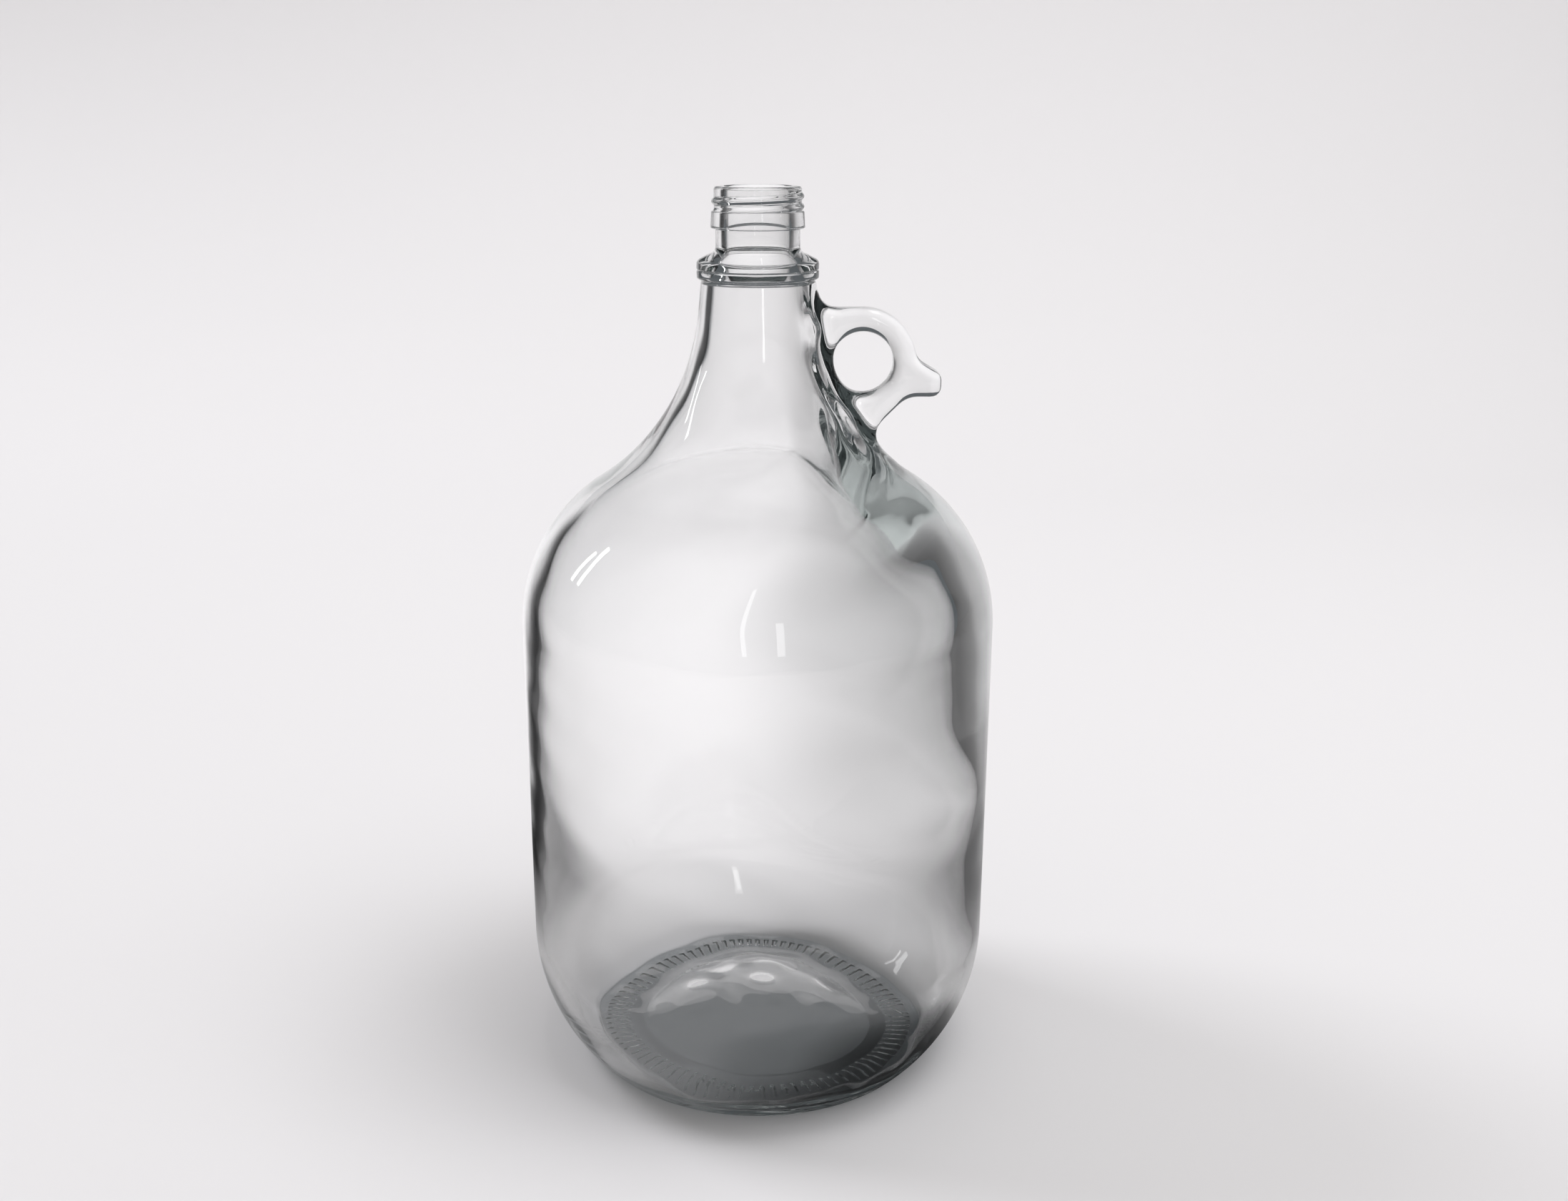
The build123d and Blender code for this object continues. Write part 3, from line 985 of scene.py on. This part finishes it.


# Painted light and shade by direction from the jug, for rays that met the glass: dark sectors at
# the sides stand in for dark cards. In degrees: 0 is straight behind it, 90 is to the right.
painted_side_shade_levels = [(-180, 0.85), (-125, 0.8), (-98, 0.42), (-68, 0.35), (-58, 0.03), (-46, 0.01)]
painted_side_shade_levels += [(-38, 0.01), (-34, 0.6), (-29, 1.17), (-14, 1.24), (0, 1.24), (8, 1.12)]
painted_side_shade_levels += [(16, 0.94), (26, 0.76), (36, 0.58), (43, 0.24), (60, 0.14), (85, 0.14)]
painted_side_shade_levels += [(105, 0.3), (130, 0.8), (180, 0.85)]
# Painted shadow and painted light spots: a place on the table, and levels by distance from it, in
# metres. A level below 1 is painted shadow and a level above 1 is painted light.
painted_light_and_shade_spots = [
    ((0, 0), [(0, 1.5), (0.045, 1.45), (0.06, 1.2), (0.072, 1), (0.085, 1)]),
    ((0.062, 0.088), [(0, 0.85), (0.02, 0.87), (0.055, 1)]),
    ((-0.04, 0.08), [(0, 1.4), (0.03, 1.35), (0.06, 1)]),
    ((0.072, -0.05), [(0, 0.02), (0.04, 0.03), (0.062, 1)]),
    ((0.03, -0.1), [(0, 0.03), (0.04, 0.05), (0.065, 1)]),
    ((0, 1.45), [(0, 0.84), (0.5, 0.86), (0.9, 1)]),
]
print("shades:", len(painted_side_shade_levels), "directions and", len(painted_light_and_shade_spots), "painted_light_and_shade_spots")

# %% Paper
# Matt photographic background paper: pressed pulp with no gloss, so it scatters light evenly.
# Seen directly, its only shades are the soft shadows on it. In the glass it also shows the painted light and
# shade above.
paper, tree = new_material("matt_backdrop_paper")
where = add_node(tree, "ShaderNodeTexCoord")
place = where.outputs["Object"]
parts = add_node(tree, "ShaderNodeSeparateXYZ", {"Vector": place}).outputs
way = add_node(tree, "ShaderNodeMath", {0: parts[0], 1: parts[1]}, operation="ARCTAN2")
sides = add_node(tree, "ShaderNodeMapRange", {"Value": way.outputs[0]}, From_Min=-pi, From_Max=pi)
side_stops = [((degree + 180) / 360, level) for degree, level in painted_side_shade_levels]
painted_side_grey = level_ramp(tree, sides.outputs[0], side_stops)
# Close to the jug a direction means nothing, so the painted shade by direction fades in farther out.
reach = add_node(tree, "ShaderNodeVectorMath", {0: place}, operation="LENGTH")
far_links = {"Value": reach.outputs["Value"]}
far = add_node(tree, "ShaderNodeMapRange", far_links, From_Min=0.09, From_Max=0.2)
far.interpolation_type = "SMOOTHSTEP"
side_mix = add_node(tree, "ShaderNodeMix", {0: far.outputs[0], 7: painted_side_grey}, data_type="RGBA")
side_mix.inputs[6].default_value = (1, 1, 1, 1)
painted_shades = [side_mix.outputs[2]]
for (x, y), levels in painted_light_and_shade_spots:
    apart = add_node(tree, "ShaderNodeVectorMath", {0: place}, operation="DISTANCE")
    apart.inputs[1].default_value = (x, y, 0)
    painted_shades.append(level_ramp(tree, apart.outputs["Value"], levels))


def met_glass(tree):
    """A socket that is 1 for rays that went through glass or off it."""
    path = add_node(tree, "ShaderNodeLightPath")
    seen = {0: path.outputs["Is Transmission Ray"], 1: path.outputs["Is Glossy Ray"]}
    return add_node(tree, "ShaderNodeMath", seen, operation="MAXIMUM").outputs[0]


# The paper's own grey, with the painted light and shade multiplied in for rays that met the glass.
through = met_glass(tree)
colour = None
for shade in painted_shades:
    links = {0: through, 7: shade}
    mix = add_node(tree, "ShaderNodeMix", links, data_type="RGBA", blend_type="MULTIPLY")
    mix.inputs[6].default_value = linear("#E3E2E3")
    if colour:
        tree.links.new(colour, mix.inputs[6])
    colour = mix.outputs[2]
matt = add_node(tree, "ShaderNodeBsdfPrincipled", {"Base Color": colour})
matt.inputs["Roughness"].default_value = 0.9
add_node(tree, "ShaderNodeOutputMaterial", {"Surface": matt.outputs[0]})
table_mesh.materials.append(paper)
print("paper:", len(tree.nodes), "nodes")

# %% [markdown]
# ## Lights
# Three large soft lamps light the paper: one from behind at the left, which throws the weak
# shadow to the front right, one from the front right, and one for the backdrop. A lamp that
# lights paper well would burn white patches on glass, so these three don't show in it. What
# shows are two narrow windows, one at the left and one in front, which draw the thin highlights
# on the neck, the shoulder and the base. One lamp for both jobs would be simpler, but no size of
# it does both.


# %% Soft lights
def softbox(name, place, aim, size, power, shine=True, colour="#FFFFFF"):
    """A rectangular soft light that looks at a point; shine says whether it shows as a highlight."""
    data = bpy.data.lights.new(name, "AREA")
    data.shape = "RECTANGLE"
    data.size, data.size_y = size
    data.energy = power
    data.color = linear(colour)[:3]
    obj = bpy.data.objects.new(name, data)
    bpy.context.scene.collection.objects.link(obj)
    obj.location = place
    obj.rotation_euler = (Vector(aim) - Vector(place)).to_track_quat("-Z", "Y").to_euler()
    obj.visible_glossy = shine
    obj.visible_transmission = shine
    return obj


softbox("key_light", (-2.5, 1.1, 2.7), (0, 0.1, 0), (1.4, 1.4), 62, shine=False, colour="#FAFBFF")
softbox("fill_light", (1.3, -0.5, 2.5), (0.5, 0.1, 0), (1.8, 1.8), 25, shine=False, colour="#FAFBFF")
softbox("backdrop_light", (0.4, 0.1, 1.9), (0.25, 1.5, 0.4), (1.2, 1.2), 14.5, shine=False)
softbox("left_window", (-2.2, 0.75, 1.1), (0, 0, 0.1), (0.1, 0.7), 1.4)
softbox("front_window", (0.45, -2.4, 0.85), (0, 0, 0.25), (0.16, 0.9), 1.5)

# %% Room light
# The room lifts the shadows a little. Rays that have met the glass see it darker, which is painted shade in
# the room as seen in the glass, like on the paper.
world = bpy.data.worlds.new("room")
bpy.context.scene.world = world
world.use_nodes = True
tree = world.node_tree
tree.nodes.clear()
room = add_node(tree, "ShaderNodeMix", {0: met_glass(tree)}, data_type="RGBA")
room.inputs[6].default_value = linear("#A09C99")
room.inputs[7].default_value = linear("#5C6063")
sky = add_node(tree, "ShaderNodeBackground", {"Color": room.outputs[2]})
add_node(tree, "ShaderNodeOutputWorld", {"Surface": sky.outputs[0]})
bpy.context.scene.view_settings.view_transform = "Standard"
# A ray that passes the base crosses many faces of glass, so it may bounce often.
bpy.context.scene.cycles.max_bounces = 32
bpy.context.scene.cycles.glossy_bounces = 24
bpy.context.scene.cycles.transmission_bounces = 32
